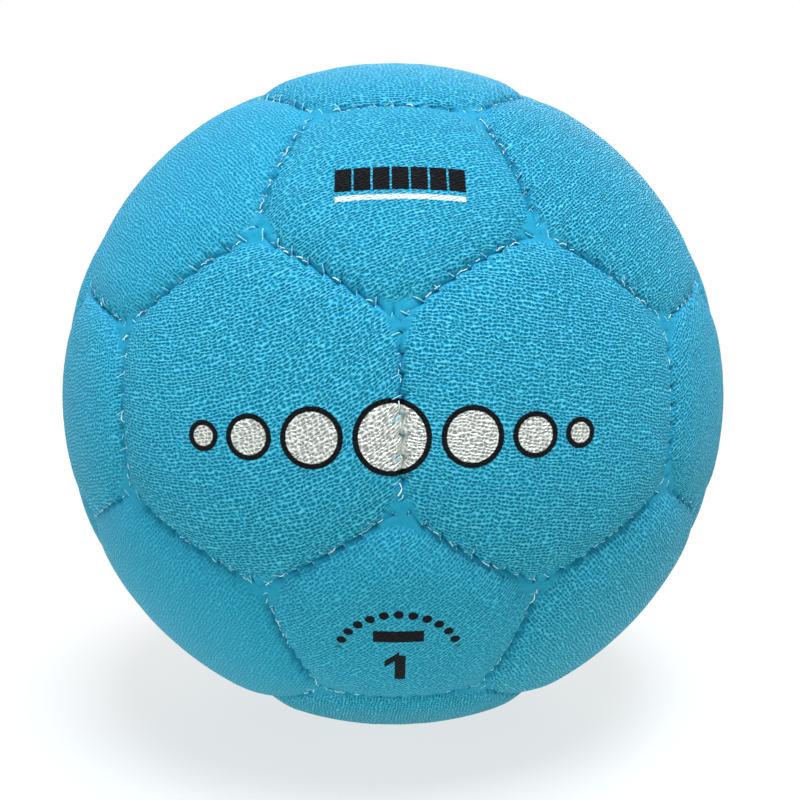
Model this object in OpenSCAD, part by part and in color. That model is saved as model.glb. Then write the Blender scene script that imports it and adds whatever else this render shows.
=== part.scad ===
// Hand-sewn handball of 32 panels: 12 pentagons and 20 hexagons round a bladder with a valve.
// The origin is the ball's centre, -Y is the front and +Z is up.

/* [Ball] */
// Outside diameter over the crowns of the panels
ball_d = 162; // [150:0.5:192]

/* [Cover panels] */
// Thickness of the cover sheet
cover_t = 2; // [1.6:0.1:2.6]
// Thickness of a panel's turned-in edge
edge_t = 1.2; // [0.8:0.1:1.8]
// Depth of the turned-in edge below the inside of the cover sheet
edge_h = 3.2; // [3:0.1:5]
// Gap between the turned-in edges of two neighbours
seam_gap = 0.2; // [0.1:0.05:0.4]
// Depth of the groove over a seam
groove_h = 1.8; // [1:0.1:1.9]
// Distance from a seam at which the roll of a panel's edge ends
groove_w = 4.6; // [3.5:0.1:6]

/* [Linings] */
// Thickness of the cloth lining behind each panel
lining_t = 1.2; // [0.8:0.1:1.5]
// Gap between a lining and the turned-in edges round it
lining_gap = 0.3; // [0.1:0.05:0.6]
// Thickness of the film of glue behind a bonded layer
glue_t = 0.1; // [0.05:0.01:0.12]

/* [Bladder] */
// Thickness of the bladder's wall
bladder_t = 0.9; // [0.6:0.1:1.5]
// Gap between the bladder and the turned-in edges that rest on it
bladder_gap = 0.2; // [0.1:0.05:0.3]

/* [Valve] */
// Diameter of the valve's stem where it shows in its panel
stem_d = 8.6; // [7.6:0.1:10]
// Gap between the stem and the holes that it passes through
stem_gap = 0.2; // [0.1:0.05:0.4]
// Depth of the stem's end below the crown of its panel
stem_sunk = 0.5; // [0.2:0.1:1]
// Diameter of the flange that is bonded to the bladder
flange_d = 21; // [18:0.5:24]
// Diameter of the boot inside the bladder
boot_d = 10.4; // [9.6:0.1:12]
// Length of the boot below the bladder's outer face
boot_l = 13; // [11:0.5:16]
// Diameter of the air hole in the boot's end
air_d = 3; // [2:0.1:3.6]
// Thickness of the lip round the air hole
lip_t = 1.6; // [1:0.1:2.4]
// Diameter of the core
core_d = 5; // [4.6:0.1:5.6]
// Gap between the core and the boot round it
core_gap = 0.05; // [0.02:0.01:0.1]
// Diameter of the core's head
core_head_d = 6.6; // [6.2:0.1:7]
// Thickness of the core's head
core_head_t = 1.2; // [0.8:0.1:1.6]
// Diameter of the bore for an inflating needle
needle_d = 2; // [1.6:0.1:2.4]
// Depth of the bore for an inflating needle
needle_l = 10; // [8:0.5:12]
// Diameter of the patch that is glued behind the valve's panel
patch_d = 28; // [24:0.5:32]
// Thickness of the patch
patch_t = 0.5; // [0.3:0.05:0.6]

/* [Hidden] */
$fn = 120;
phi = (1 + sqrt(5)) / 2;
cover_color = [0.16, 0.6, 0.76];
lining_color = [0.9, 0.88, 0.8];
bladder_color = [0.12, 0.12, 0.13];
valve_color = [0.85, 0.86, 0.84];
patch_color = [0.78, 0.74, 0.62];

// Length of a seam as a share of the radius, the same for every seam
seam_share = 4 / sqrt(58 + 18 * sqrt(5));
// Share of the groove's width by which the roll stands proud where it meets the crown
proud_share = 0.01;
// Share of a seam's own arc that the cut of its roll covers
roll_arc_share = 1.25;
// Extra length of a cut past the surface that it opens
over = 1;

// Radii from the ball's centre, from the crown of a panel inwards
ball_r = ball_d / 2;
cover_in_r = ball_r - cover_t;
lining_out_r = cover_in_r - glue_t;
lining_in_r = lining_out_r - lining_t;
patch_out_r = lining_in_r - glue_t;
patch_in_r = patch_out_r - patch_t;
flange_out_r = patch_in_r - glue_t;
edge_tip_r = cover_in_r - edge_h;
bladder_out_r = edge_tip_r - bladder_gap;
flange_in_r = bladder_out_r + glue_t;
flange_mid_r = (flange_in_r + flange_out_r) / 2;
bladder_in_r = bladder_out_r - bladder_t;
stem_end_r = ball_r - stem_sunk;
boot_end_r = bladder_out_r - boot_l;
core_end_r = boot_end_r + lip_t + core_gap;

// Radius of the roll of a panel's edge, tangent to the crown at groove_w and groove_h deep at the seam
roll_r = (pow(groove_w, 2) + pow(groove_h, 2)) / (2 * groove_h);
roll_at = ball_r - roll_r + proud_share * groove_w;
roll_angle = groove_w / ball_r * 180 / PI;
roll_arc = 2 * asin(seam_share / 2) * roll_arc_share;

// Angles at the ball's centre from the middle of a panel with n sides to a corner and to a side
function corner_angle(n) = asin(seam_share / (2 * sin(180 / n)));
function side_angle(n) = atan(tan(corner_angle(n)) * cos(180 / n));

function unit(v) = v / norm(v);

// A panel is [name, sides, direction of its middle, direction towards the middle of one of its
// sides]: that side of a pentagon faces a hexagon, and that of a hexagon faces a pentagon
PENTAGONS = [
    for (a = [-1, 1], b = [-1, 1]) each [
        [str("pentagon_", a < 0 ? "front" : "back", b < 0 ? "_bottom" : "_top"), 5, [0, a * phi, b],
            [0, -a * phi, b]],
        [str("pentagon_", a < 0 ? "left" : "right", b < 0 ? "_front" : "_back"), 5, [a * phi, b, 0],
            [-a * phi, b, 0]],
        [str("pentagon_", a < 0 ? "bottom" : "top", b < 0 ? "_left" : "_right"), 5, [b, 0, a * phi],
            [b, 0, -a * phi]]
    ]
];
VALVE_PANEL = ["valve_panel", 6, [1 / phi, phi, 0], [0, phi, 1]];
HEXAGONS = [
    for (a = [-1, 1], b = [-1, 1]) each [
        if (a < 0 || b < 0)
            [str("hexagon_", a < 0 ? "front" : "back", b < 0 ? "_left" : "_right"), 6, [b / phi, a * phi, 0],
                [0, a * phi, 1]],
        [str("hexagon_", a < 0 ? "left" : "right", b < 0 ? "_lower" : "_upper"), 6, [a * phi, 0, b / phi],
            [a * phi, 1, 0]],
        [str("hexagon_", a < 0 ? "bottom" : "top", b < 0 ? "_front" : "_back"), 6, [0, b / phi, a * phi],
            [1, 0, a * phi]],
        [str("hexagon_left", a < 0 ? "_front" : "_back", b < 0 ? "_bottom" : "_top"), 6, [-1, a, b],
            [0, a * phi, b]],
        [str("hexagon_right", a < 0 ? "_front" : "_back", b < 0 ? "_bottom" : "_top"), 6, [1, a, b],
            [0, a * phi, b]]
    ]
];
PANELS = concat(PENTAGONS, HEXAGONS);

// Stands what is drawn round +Z at a panel's place, with +X towards the middle of a side
module at_panel(p) {
    z = unit(p[2]);
    x = unit(p[3] - (p[3] * z) * z);
    y = cross(z, x);
    multmatrix([
        [x.x, y.x, z.x, 0],
        [x.y, y.y, z.y, 0],
        [x.z, y.z, z.z, 0],
        [0, 0, 0, 1]
    ]) children();
}

// Turns +Z square to the plane of side k of a panel with n sides, towards the panel's middle, and
// +X towards the middle of that side
module at_side(n, k) {
    rotate([0, 0, k * 360 / n]) rotate([0, side_angle(n) - 90, 0]) children();
}

// Ball of radius r with its poles on the Y axis, away from every panel drawn round +Z
module round_ball(r) {
    rotate([90, 0, 180]) sphere(r);
}

// Wedge of a ball of radius r inside all n seam planes, inset from each by the same distance
module sector(n, r, inset) {
    difference() {
        round_ball(r);
        for (k = [0:n - 1])
            at_side(n, k) translate([-2 * r, -2 * r, inset - 2 * r]) cube([4 * r, 4 * r, 2 * r]);
    }
}

// Stretch of a ring that cuts the roll of a panel's edge along one side, past both its corners
module roll_cutter() {
    rotate([0, 0, -roll_arc / 2]) rotate_extrude(angle = roll_arc) difference() {
        translate([roll_at * cos(roll_angle), -over])
            square([roll_r + over, ball_r * sin(roll_angle) + over]);
        translate([roll_at * cos(roll_angle), roll_at * sin(roll_angle)]) circle(roll_r);
    }
}

// Round post on the middle line of a panel drawn round +Z, also used to cut round holes
module post(d, from_r, to_r) {
    translate([0, 0, from_r]) cylinder(d = d, h = to_r - from_r);
}

// One cover panel drawn round +Z: a rounded top with its edges rolled over and turned in
module cover(n) {
    difference() {
        sector(n, ball_r, seam_gap / 2);
        for (k = [0:n - 1]) at_side(n, k) roll_cutter();
        sector(n, cover_in_r, seam_gap / 2 + edge_t);
        round_ball(edge_tip_r);
    }
}

// One lining drawn round +Z, between the turned-in edges of its panel
module lining(n) {
    difference() {
        sector(n, lining_out_r, seam_gap / 2 + edge_t + lining_gap);
        round_ball(lining_in_r);
    }
}

// One of the panels that differ only in their place
module cover_panel(p) {
    color(cover_color) at_panel(p) cover(p[1]);
}

module valve_panel() {
    color(cover_color) at_panel(VALVE_PANEL) difference() {
        cover(VALVE_PANEL[1]);
        post(stem_d + 2 * stem_gap, cover_in_r - over, ball_r + over);
    }
}

module pentagon_linings() {
    color(lining_color) for (p = PENTAGONS) at_panel(p) lining(p[1]);
}

module hexagon_linings() {
    color(lining_color) for (p = HEXAGONS) at_panel(p) lining(p[1]);
}

module valve_lining() {
    color(lining_color) at_panel(VALVE_PANEL) difference() {
        lining(VALVE_PANEL[1]);
        post(stem_d + 2 * stem_gap, lining_in_r - over, lining_out_r + over);
    }
}

// Cloth ring that keeps the valve's hole from tearing
module valve_patch() {
    color(patch_color) at_panel(VALVE_PANEL) difference() {
        intersection() {
            round_ball(patch_out_r);
            post(patch_d, bladder_in_r, ball_r);
        }
        round_ball(patch_in_r);
        post(stem_d + 2 * stem_gap, bladder_in_r, ball_r);
    }
}

// Hollow ball that holds the air, with a hole for the boot
module bladder() {
    color(bladder_color) at_panel(VALVE_PANEL) difference() {
        round_ball(bladder_out_r);
        round_ball(bladder_in_r);
        post(boot_d + 2 * stem_gap, bladder_in_r - over, ball_r);
    }
}

// Rubber boot: a stem through the panel, a flange on the bladder and a socket for the core
module valve_boot() {
    color(valve_color) at_panel(VALVE_PANEL) difference() {
        union() {
            post(boot_d, boot_end_r, flange_mid_r);
            post(stem_d, flange_in_r, stem_end_r);
            difference() {
                intersection() {
                    round_ball(flange_out_r);
                    post(flange_d, bladder_in_r, ball_r);
                }
                round_ball(flange_in_r);
            }
        }
        post(core_d + 2 * core_gap, boot_end_r + lip_t, ball_r);
        post(core_head_d + 2 * core_gap, stem_end_r - core_head_t - core_gap, ball_r);
        post(air_d, boot_end_r - over, ball_r);
    }
}

// Rubber core that an inflating needle is pushed through
module valve_core() {
    color(bladder_color) at_panel(VALVE_PANEL) difference() {
        union() {
            post(core_d, core_end_r, stem_end_r);
            post(core_head_d, stem_end_r - core_head_t, stem_end_r);
        }
        post(needle_d, stem_end_r - needle_l, ball_r);
    }
}

for (p = PANELS) cover_panel(p);
valve_panel();
pentagon_linings();
hexagon_linings();
valve_lining();
valve_patch();
bladder();
valve_boot();
valve_core();
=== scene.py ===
"""Looks of a hand-sewn handball: pebbled cover panels, sewing thread, valve, inner layers, prints and stage."""
import logging
import math
from collections.abc import Iterator
from dataclasses import dataclass, field
from enum import Enum
from itertools import product
from typing import Any

import bpy
import numpy as np
from mathutils import Matrix, Vector


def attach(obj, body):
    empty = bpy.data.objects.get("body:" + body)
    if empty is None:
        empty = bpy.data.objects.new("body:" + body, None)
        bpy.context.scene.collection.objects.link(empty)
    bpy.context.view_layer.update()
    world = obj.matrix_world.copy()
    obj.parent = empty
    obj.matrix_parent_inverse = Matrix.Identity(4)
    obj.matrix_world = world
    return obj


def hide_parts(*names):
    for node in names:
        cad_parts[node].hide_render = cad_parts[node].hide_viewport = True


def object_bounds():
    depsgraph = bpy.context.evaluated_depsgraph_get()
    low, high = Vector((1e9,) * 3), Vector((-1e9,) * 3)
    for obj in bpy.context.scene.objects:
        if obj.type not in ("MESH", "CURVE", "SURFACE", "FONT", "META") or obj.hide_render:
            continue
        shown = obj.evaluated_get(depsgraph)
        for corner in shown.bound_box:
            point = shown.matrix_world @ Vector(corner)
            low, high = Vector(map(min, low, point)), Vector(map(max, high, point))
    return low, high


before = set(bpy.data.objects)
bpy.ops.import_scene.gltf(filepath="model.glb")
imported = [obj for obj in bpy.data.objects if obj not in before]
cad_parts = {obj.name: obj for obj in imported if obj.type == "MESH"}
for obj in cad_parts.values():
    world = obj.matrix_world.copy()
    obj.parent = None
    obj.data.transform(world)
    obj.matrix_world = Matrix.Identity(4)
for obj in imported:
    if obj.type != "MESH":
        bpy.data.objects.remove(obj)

LOG = logging.getLogger("handball")
MM = 0.001
PHI = (1 + math.sqrt(5)) / 2
CAD_BOX = [list(corner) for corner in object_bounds()]
Pair = tuple[float, float]
Triple = tuple[float, float, float]
Quad = tuple[float, float, float, float]
Colour = Triple


# ---------------------------------------------------------------- node trees


class Wire:
    """A node's output that takes part in arithmetic: every operator adds a Math node."""

    def __init__(self, tree: "Tree", socket: bpy.types.NodeSocket | None) -> None:
        """Wraps an output socket of a tree."""
        self.tree = tree
        self.socket = socket

    def math(self, operation: str, *others: Any) -> "Wire":
        """Adds a Math node.

        Args:
            operation: The Math node's operation.
            others: The second and third values or wires.

        Returns:
            The node's result.
        """
        return self.tree.node("ShaderNodeMath", {"operation": operation}, dict(enumerate((self, *others))))

    def __add__(self, other: Any) -> "Wire":
        """Sum."""
        return self.math("ADD", other)

    __radd__ = __add__

    def __sub__(self, other: Any) -> "Wire":
        """Difference."""
        return self.math("SUBTRACT", other)

    def __rsub__(self, other: Any) -> "Wire":
        """Difference from a number."""
        return self.tree.number(other).math("SUBTRACT", self)

    def __mul__(self, other: Any) -> "Wire":
        """Product."""
        return self.math("MULTIPLY", other)

    __rmul__ = __mul__

    def __truediv__(self, other: Any) -> "Wire":
        """Quotient."""
        return self.math("DIVIDE", other)

    def __neg__(self) -> "Wire":
        """Opposite value."""
        return self.math("MULTIPLY", -1.0)

    def low(self, other: Any) -> "Wire":
        """The smaller of two values."""
        return self.math("MINIMUM", other)

    def high(self, other: Any) -> "Wire":
        """The larger of two values."""
        return self.math("MAXIMUM", other)

    def size(self) -> "Wire":
        """Absolute value."""
        return self.math("ABSOLUTE")

    def fraction(self) -> "Wire":
        """What is left after the whole number."""
        return self.math("FRACT")

    def root(self) -> "Wire":
        """Square root of what is above zero."""
        return self.high(0.0).math("SQRT")

    def exp(self) -> "Wire":
        """Natural exponential."""
        return self.math("EXPONENT")

    def sine(self) -> "Wire":
        """Sine of an angle in radians."""
        return self.math("SINE")

    def beyond(self, low: Any, high: Any) -> "Wire":
        """Smooth step.

        Args:
            low: Where it is still 0.
            high: Where it reaches 1. It may lie below low, and then the step falls.

        Returns:
            The step, from 0 to 1.
        """
        return self.tree.node(
            "ShaderNodeMapRange",
            {"interpolation_type": "SMOOTHSTEP", "clamp": True},
            {"Value": self, "From Min": low, "From Max": high, "To Min": 0.0, "To Max": 1.0},
        )


class Tree:
    """A node tree under construction."""

    def __init__(self, tree: bpy.types.NodeTree) -> None:
        """Starts from an empty tree."""
        self.tree = tree
        self.tree.nodes.clear()

    def node(self, kind: str, settings: dict | None = None, inputs: dict | None = None, output: Any = 0) -> Wire:
        """Adds a node.

        Args:
            kind: The node's type name.
            settings: Properties, set before the inputs.
            inputs: Values or wires by socket name or number.
            output: Name or number of the socket that is returned.

        Returns:
            The chosen output.
        """
        made = self.tree.nodes.new(kind)
        for key, value in (settings or {}).items():
            setattr(made, key, value)
        for key, value in (inputs or {}).items():
            self.plug(self._socket(made.inputs, key), value)
        return Wire(self, self._socket(made.outputs, output) if len(made.outputs) else None)

    @staticmethod
    def _socket(sockets: Any, key: Any) -> bpy.types.NodeSocket:
        """Finds a socket.

        Args:
            sockets: A node's inputs or outputs.
            key: A number, or a name among those that are in use.

        Returns:
            The socket.
        """
        if isinstance(key, int):
            return sockets[key]
        return next(s for s in sockets if s.name == key and s.enabled)

    def plug(self, socket: bpy.types.NodeSocket, value: Any) -> None:
        """Links a wire or sets a plain value on an input.

        Args:
            socket: The input.
            value: The wire or value.
        """
        if isinstance(value, Wire):
            self.tree.links.new(value.socket, socket)
        else:
            socket.default_value = value

    def number(self, value: float) -> Wire:
        """A constant as a wire."""
        return self.node("ShaderNodeMath", {"operation": "ADD"}, {0: float(value), 1: 0.0})

    def vector(self, x: Any, y: Any, z: Any) -> Wire:
        """Three values as a vector."""
        return self.node("ShaderNodeCombineXYZ", {}, {0: x, 1: y, 2: z})

    def parts(self, vector: Wire) -> tuple[Wire, Wire, Wire]:
        """The three components of a vector."""
        split = self.node("ShaderNodeSeparateXYZ", {}, {0: vector})
        return split, Wire(self, split.socket.node.outputs[1]), Wire(self, split.socket.node.outputs[2])

    def vmath(self, operation: str, *values: Any, output: Any = 0) -> Wire:
        """A Vector Math node."""
        return self.node("ShaderNodeVectorMath", {"operation": operation}, dict(enumerate(values)), output)

    def scaled(self, vector: Wire, factor: Any) -> Wire:
        """A vector times a number."""
        return self.node("ShaderNodeVectorMath", {"operation": "SCALE"}, {0: vector, "Scale": factor})

    def mix(self, factor: Any, first: Any, second: Any) -> Wire:
        """Mix of two colours."""
        values = {"Factor": factor, "A": first, "B": second}
        return self.node("ShaderNodeMix", {"data_type": "RGBA"}, values, "Result")

    def noise(self, vector: Wire, scale: float, detail: float = 2.0, output: str = "Factor") -> Wire:
        """Noise of a vector.

        Args:
            vector: The place.
            scale: How many lumps there are in one unit.
            detail: How many finer layers are added.
            output: "Factor" for a number about 0.5 in the mean, "Color" for three.

        Returns:
            The noise.
        """
        return self.node(
            "ShaderNodeTexNoise", {"noise_dimensions": "3D"}, {"Vector": vector, "Scale": scale, "Detail": detail},
            0 if output == "Factor" else 1,
        )

    def attribute(self, name: str) -> Wire:
        """A stored number, in a material."""
        return self.node("ShaderNodeAttribute", {"attribute_name": name}, {}, "Fac")

    def place(self) -> Wire:
        """The place on the ball in millimetres, in a material."""
        return self.scaled(self.node("ShaderNodeTexCoord", {}, {}, "Object"), 1 / MM)


class Growth(Tree):
    """A Geometry Nodes tree with named inputs, made on a mesh and turned into a plain mesh."""

    def __init__(self, name: str) -> None:
        """Starts a tree that takes and gives a geometry.

        Args:
            name: The tree's name.
        """
        group = bpy.data.node_groups.new(name, "GeometryNodeTree")
        super().__init__(group)
        for way in ("INPUT", "OUTPUT"):
            group.interface.new_socket("Geometry", in_out=way, socket_type="NodeSocketGeometry")
        self.entry = group.nodes.new("NodeGroupInput")
        self.values: dict[str, float] = {}

    def size_input(self, name: str, value: float) -> Wire:
        """Adds a named number to the tree's inputs.

        Args:
            name: The input's name.
            value: What the modifier sets it to.

        Returns:
            The input as a wire.
        """
        item = self.tree.interface.new_socket(name, in_out="INPUT", socket_type="NodeSocketFloat")
        item.default_value = value
        self.values[item.identifier] = value
        return Wire(self, next(s for s in self.entry.outputs if s.identifier == item.identifier))

    def geometry(self) -> Wire:
        """The geometry that comes in."""
        return Wire(self, self.entry.outputs[0])

    def named(self, name: str, kind: str = "FLOAT") -> Wire:
        """Reads a stored attribute."""
        return self.node("GeometryNodeInputNamedAttribute", {"data_type": kind}, {"Name": name}, "Attribute")

    def marked(self, geometry: Wire, name: str, value: Any) -> Wire:
        """Stores a number on a geometry's points.

        Args:
            geometry: The geometry.
            name: The attribute's name.
            value: The number or wire.

        Returns:
            The geometry with the attribute.
        """
        return self.node(
            "GeometryNodeStoreNamedAttribute", {"data_type": "FLOAT", "domain": "POINT"},
            {"Geometry": geometry, "Name": name, "Value": value},
        )

    def random(self, low: Any, high: Any, seed: int) -> Wire:
        """A random value for every point.

        Args:
            low: The least number or vector.
            high: The largest, of the same kind.
            seed: The fixed seed.

        Returns:
            The value.
        """
        if isinstance(low, tuple):
            return self.node(
                "FunctionNodeRandomValue", {"data_type": "FLOAT_VECTOR"}, {0: low, 1: high, "Seed": seed}
            )
        return self.node("FunctionNodeRandomValue", {"data_type": "FLOAT"}, {2: low, 3: high, "Seed": seed}, 1)

    def tube(self, path: Wire, radius: Any, sides: int) -> Wire:
        """Gives a curve a round, closed body.

        Args:
            path: The curve.
            radius: The body's radius in metres.
            sides: How many sides it has.

        Returns:
            The body.
        """
        ring = self.node(
            "GeometryNodeCurvePrimitiveCircle", {"mode": "RADIUS"}, {"Resolution": sides, "Radius": radius}
        )
        return self.node("GeometryNodeCurveToMesh", {}, {"Curve": path, "Profile Curve": ring, "Fill Caps": True})

    def close(self, geometry: Wire, material: bpy.types.Material) -> None:
        """Smooths the geometry and ends the tree in Realize Instances and Set Material.

        Args:
            geometry: The finished geometry.
            material: The material that it gets.
        """
        smooth = self.node("GeometryNodeSetShadeSmooth", {}, {"Geometry": geometry})
        real = self.node("GeometryNodeRealizeInstances", {}, {"Geometry": smooth})
        done = self.node("GeometryNodeSetMaterial", {}, {"Geometry": real, "Material": material})
        leave = self.tree.nodes.new("NodeGroupOutput")
        self.tree.links.new(done.socket, leave.inputs[0])

    def grow(self, base: bpy.types.Object) -> bpy.types.Object:
        """Evaluates the tree on a base object and keeps the result as a plain mesh.

        Args:
            base: The object whose mesh goes in. Its mesh is replaced.

        Returns:
            The base object with its final mesh and no modifier.
        """
        modifier = base.modifiers.new("growth", "NODES")
        modifier.node_group = self.tree
        for identifier, value in self.values.items():
            modifier[identifier] = float(value)
        bpy.context.view_layer.update()
        graph = bpy.context.evaluated_depsgraph_get()
        mesh = bpy.data.meshes.new_from_object(base.evaluated_get(graph), depsgraph=graph)
        base.modifiers.clear()
        base.data = mesh
        return base


def new_object(name: str, mesh: bpy.types.Mesh) -> bpy.types.Object:
    """Links a mesh to the scene as an object at the origin.

    Args:
        name: The object's name.
        mesh: Its mesh.

    Returns:
        The object.
    """
    made = bpy.data.objects.new(name, mesh)
    bpy.context.scene.collection.objects.link(made)
    return made


def new_mesh(name: str, points: np.ndarray, faces: list, edges: list | None = None) -> bpy.types.Mesh:
    """Makes a mesh.

    Args:
        name: The mesh's name.
        points: Its points in metres.
        faces: Its faces, as point numbers.
        edges: Its loose edges, as point numbers.

    Returns:
        The mesh.
    """
    mesh = bpy.data.meshes.new(name)
    mesh.from_pydata(points.tolist(), edges or [], faces)
    mesh.update()
    return mesh


def store(mesh: bpy.types.Mesh, **columns: np.ndarray) -> None:
    """Stores numbers or vectors for every point of a mesh.

    Args:
        mesh: The mesh.
        columns: The values, by the attribute's name.
    """
    for name, values in columns.items():
        kind, key = ("FLOAT_VECTOR", "vector") if values.ndim == 2 else ("FLOAT", "value")
        attribute = mesh.attributes.new(name, kind, "POINT")
        attribute.data.foreach_set(key, values.astype(np.float32).ravel())


def forget(mesh: bpy.types.Mesh, names: tuple[str, ...]) -> None:
    """Removes those of the named attributes that a mesh still has.

    Args:
        mesh: The mesh.
        names: The attributes' names.
    """
    for name in names:
        found = mesh.attributes.get(name)
        if found is not None:
            mesh.attributes.remove(found)


# ---------------------------------------------------------------- finishes


class Print(Enum):
    """What is printed on a panel."""

    NONE = "none"
    DISCS = "discs"
    BLOCKS = "blocks"
    NUMERAL = "numeral"


def surface(name: str) -> tuple[bpy.types.Material, Tree, bpy.types.Node]:
    """Makes a material with a Principled shader.

    Args:
        name: The material's name.

    Returns:
        The material, its tree and the shader node.
    """
    material = bpy.data.materials.new(name)
    material.use_nodes = True
    tree = Tree(material.node_tree)
    shader = tree.tree.nodes.new("ShaderNodeBsdfPrincipled")
    leave = tree.tree.nodes.new("ShaderNodeOutputMaterial")
    tree.tree.links.new(shader.outputs[0], leave.inputs["Surface"])
    return material, tree, shader


def fit(tree: Tree, shader: bpy.types.Node, **values: Any) -> None:
    """Sets or links the shader's inputs.

    Args:
        tree: The material's tree.
        shader: The shader node.
        values: Values or wires by the input's name, with underscores for blanks.
    """
    for key, value in values.items():
        tree.plug(shader.inputs[key.replace("_", " ")], value)


def bump(tree: Tree, height: Wire, depth_mm: float) -> Wire:
    """Turns a height from 0 to 1 into a normal.

    Args:
        tree: The material's tree.
        height: The height, 1 at the top.
        depth_mm: Real depth from 0 to 1.

    Returns:
        The normal.
    """
    return tree.node("ShaderNodeBump", {}, {"Strength": 1.0, "Distance": depth_mm * MM, "Height": height}, "Normal")


def shaded(colour: Colour, share: float) -> Quad:
    """A darker kind of a colour, with full cover."""
    return *(part * share for part in colour), 1.0


@dataclass(frozen=True)
class Grain:
    """Rows of shallow pits between ridges, in the panel's own map in millimetres.

    Attributes:
        pitch_mm: Distance from pit to pit.
        sway: Scale and reach of the slow drift of the rows.
        kink: Scale and reach of the quick kinks in them.
        disorder: How far the pits stray from their lattice, from 0 to 1.
        crest: Half the width of a ridge, as a share of the pitch.
        bowl: How far a pit's slope reaches from its middle, as a share of the pitch.
        light: How much the ridges, the slopes and the rows lighten the leather: partly its own grain tone, partly
            painted sheen and shade.
        light_off: What is added to that.
        height: How much the slopes, the ridges and the rows raise it.
    """

    pitch_mm: float = 0.66
    sway: Pair = (0.22, 1.5)
    kink: Pair = (1.1, 0.75)
    disorder: float = 0.7
    crest: float = 0.23
    bowl: float = 0.62
    light: Triple = (0.4, 0.36, 0.17)
    light_off: float = -0.02
    height: Triple = (0.42, 0.38, 0.15)

    def waves(self, tree: Tree, plane: Wire) -> tuple[Wire, Wire]:
        """Builds the grain's nodes.

        Args:
            tree: The material's tree.
            plane: The panel's map.

        Returns:
            How light each point of the net of ridges is, and how high it stands over the pits' bottoms.
        """
        sway = tree.noise(plane, self.sway[0], 1.0, "Color")
        kink = tree.noise(plane, self.kink[0], 1.0, "Color")
        bent = plane
        for drift, reach in ((sway, self.sway[1]), (kink, self.kink[1])):
            bent = tree.vmath("ADD", bent, tree.scaled(tree.vmath("SUBTRACT", drift, (0.5, 0.5, 0.5)), reach))
        middle, border = (
            tree.node(
                "ShaderNodeTexVoronoi", {"voronoi_dimensions": "2D", "feature": feature},
                {"Vector": bent, "Scale": 1.0 / self.pitch_mm, "Randomness": self.disorder}, "Distance",
            )
            for feature in ("F1", "DISTANCE_TO_EDGE")
        )
        rows = ((tree.parts(bent)[1] / self.pitch_mm - 0.5) * math.tau).sine()
        near = border / self.crest
        crest = (-(near * near)).exp()
        slope = (middle / self.bowl).low(1.0)
        light = crest * self.light[0] + slope * self.light[1] + rows * self.light[2] + self.light_off
        height = slope * self.height[0] + crest * self.height[1] + rows * self.height[2]
        return light.beyond(0.0, 1.0), height


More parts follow.
